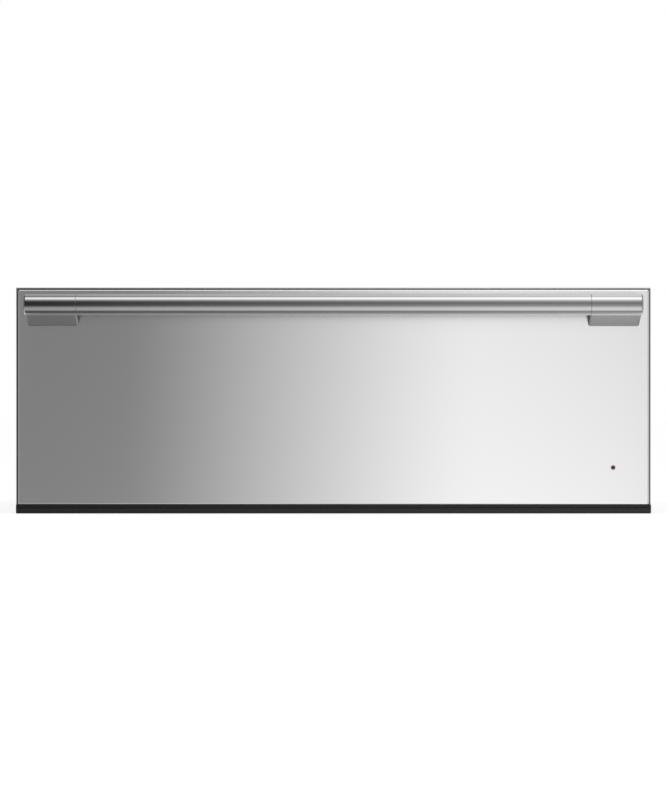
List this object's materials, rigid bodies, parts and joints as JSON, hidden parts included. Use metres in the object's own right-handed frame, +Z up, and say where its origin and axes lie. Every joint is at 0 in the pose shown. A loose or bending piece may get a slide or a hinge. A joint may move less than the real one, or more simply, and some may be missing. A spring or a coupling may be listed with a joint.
{
  "type": "built-in warming drawer",
  "caption": "Built-in warming drawer: insulated stainless front with a full-width bar handle, lift-out pan and ball-bearing slides in a sheet steel chassis.",
  "frame": {"origin": "middle of the footprint at the level of the deck, the surface that the chassis stands on", "axes": "+X to the right seen from the front, +Y from the drawer front into the cabinet, +Z up"},
  "size_m": [0.7588, 0.679, 0.27],
  "materials": {
    "brushed_stainless": "brushed stainless steel, fine grain along X",
    "handle_stainless": "stainless steel, brushed round the bar",
    "pan_stainless": "bright satin stainless steel",
    "galvanised": "galvanised sheet steel, faint spangle",
    "aluminised": "aluminised sheet, satin",
    "zinc_plate": "bright zinc plate",
    "black_trim": "satin black",
    "black_fascia": "gloss black",
    "button_grey": "matt grey",
    "seal_grey": "matt silicone",
    "mineral_board": "compressed mineral wool",
    "element_sheath": "dark oxidised sheath",
    "board_green": "green solder mask",
    "white_moulding": "matt off-white",
    "black_moulding": "matt black",
    "lamp_red": "clear dark red"
  },
  "bodies": {
    "chassis": {"base_pan": "galvanised", "left_side_panel": "galvanised", "right_side_panel": "galvanised", "back_panel": "galvanised", "top_cover": "galvanised", "face_frame": "brushed_stainless", "drawer_seal": "seal_grey", "vent_trim": "black_trim", "cavity_liner": "aluminised", "cavity_back": "aluminised", "floor_insulation": "mineral_board", "roof_insulation": "mineral_board", "heat_reflector": "aluminised", "heating_element": "element_sheath", "left_element_support": "aluminised", "right_element_support": "aluminised", "temperature_probe": "pan_stainless", "thermal_cutout": "black_moulding", "relay_board": "board_green", "terminal_block": "white_moulding", "terminal_cover": "galvanised", "control_fascia": "black_fascia", "control_housing": "black_moulding", "control_board": "board_green", "indicator_led": "lamp_red", "left_cabinet_rail": "zinc_plate", "right_cabinet_rail": "zinc_plate"},
    "drawer": {"front_skin": "brushed_stainless", "front_liner": "aluminised", "front_insulation": "mineral_board", "light_guide": "lamp_red", "handle_bar": "handle_stainless", "left_handle_mount": "handle_stainless", "right_handle_mount": "handle_stainless", "left_inner_handle_bolt": "zinc_plate", "right_inner_handle_bolt": "zinc_plate", "left_outer_handle_bolt": "zinc_plate", "right_outer_handle_bolt": "zinc_plate", "left_drawer_rail": "zinc_plate", "right_drawer_rail": "zinc_plate", "left_drawer_side": "pan_stainless", "right_drawer_side": "pan_stainless", "drawer_back": "pan_stainless", "warming_pan": "pan_stainless", "wire_rack": "pan_stainless", "moisture_guide": "black_moulding"},
    "left_middle_member": {"left_middle_rail": "zinc_plate"},
    "left_outer_ball_cage": {"left_outer_cage": "zinc_plate"},
    "left_inner_ball_cage": {"left_inner_cage": "zinc_plate"},
    "right_middle_member": {"right_middle_rail": "zinc_plate"},
    "right_outer_ball_cage": {"right_outer_cage": "zinc_plate"},
    "right_inner_ball_cage": {"right_inner_cage": "zinc_plate"},
    "power_button": {"power_button": "button_grey"},
    "mode_button": {"mode_button": "button_grey"},
    "minus_button": {"minus_button": "button_grey"},
    "plus_button": {"plus_button": "button_grey"},
    "timer_button": {"timer_button": "button_grey"},
    "moisture_slide": {"moisture_slide": "pan_stainless"}
  },
  "joints": [
    {"name": "drawer_slide", "type": "slide", "parent": "chassis", "child": "drawer", "axis": [0, -1, 0], "range_m": [0, 0.48]},
    {"name": "left_middle_member_slide", "type": "slide", "parent": "chassis", "child": "left_middle_member", "axis": [0, -1, 0], "range_m": [0, 0.24]},
    {"name": "left_outer_ball_cage_slide", "type": "slide", "parent": "chassis", "child": "left_outer_ball_cage", "axis": [0, -1, 0], "range_m": [0, 0.12]},
    {"name": "left_inner_ball_cage_slide", "type": "slide", "parent": "chassis", "child": "left_inner_ball_cage", "axis": [0, -1, 0], "range_m": [0, 0.36]},
    {"name": "right_middle_member_slide", "type": "slide", "parent": "chassis", "child": "right_middle_member", "axis": [0, -1, 0], "range_m": [0, 0.24]},
    {"name": "right_outer_ball_cage_slide", "type": "slide", "parent": "chassis", "child": "right_outer_ball_cage", "axis": [0, -1, 0], "range_m": [0, 0.12]},
    {"name": "right_inner_ball_cage_slide", "type": "slide", "parent": "chassis", "child": "right_inner_ball_cage", "axis": [0, -1, 0], "range_m": [0, 0.36]},
    {"name": "power_button_press", "type": "slide", "parent": "chassis", "child": "power_button", "axis": [0, 1, 0], "range_m": [0, 0.0012], "stiffness_N_per_m": 400, "springref_m": -0.0005},
    {"name": "mode_button_press", "type": "slide", "parent": "chassis", "child": "mode_button", "axis": [0, 1, 0], "range_m": [0, 0.0012], "stiffness_N_per_m": 400, "springref_m": -0.0005},
    {"name": "minus_button_press", "type": "slide", "parent": "chassis", "child": "minus_button", "axis": [0, 1, 0], "range_m": [0, 0.0012], "stiffness_N_per_m": 400, "springref_m": -0.0005},
    {"name": "plus_button_press", "type": "slide", "parent": "chassis", "child": "plus_button", "axis": [0, 1, 0], "range_m": [0, 0.0012], "stiffness_N_per_m": 400, "springref_m": -0.0005},
    {"name": "timer_button_press", "type": "slide", "parent": "chassis", "child": "timer_button", "axis": [0, 1, 0], "range_m": [0, 0.0012], "stiffness_N_per_m": 400, "springref_m": -0.0005},
    {"name": "moisture_slide_travel", "type": "slide", "parent": "drawer", "child": "moisture_slide", "axis": [1, 0, 0], "range_m": [0, 0.016]}
  ],
  "couplings": [
    {"joint": "left_middle_member_slide", "follows": "drawer_slide", "ratio": 0.5},
    {"joint": "left_outer_ball_cage_slide", "follows": "drawer_slide", "ratio": 0.25},
    {"joint": "left_inner_ball_cage_slide", "follows": "drawer_slide", "ratio": 0.75},
    {"joint": "right_middle_member_slide", "follows": "drawer_slide", "ratio": 0.5},
    {"joint": "right_outer_ball_cage_slide", "follows": "drawer_slide", "ratio": 0.25},
    {"joint": "right_inner_ball_cage_slide", "follows": "drawer_slide", "ratio": 0.75}
  ]
}
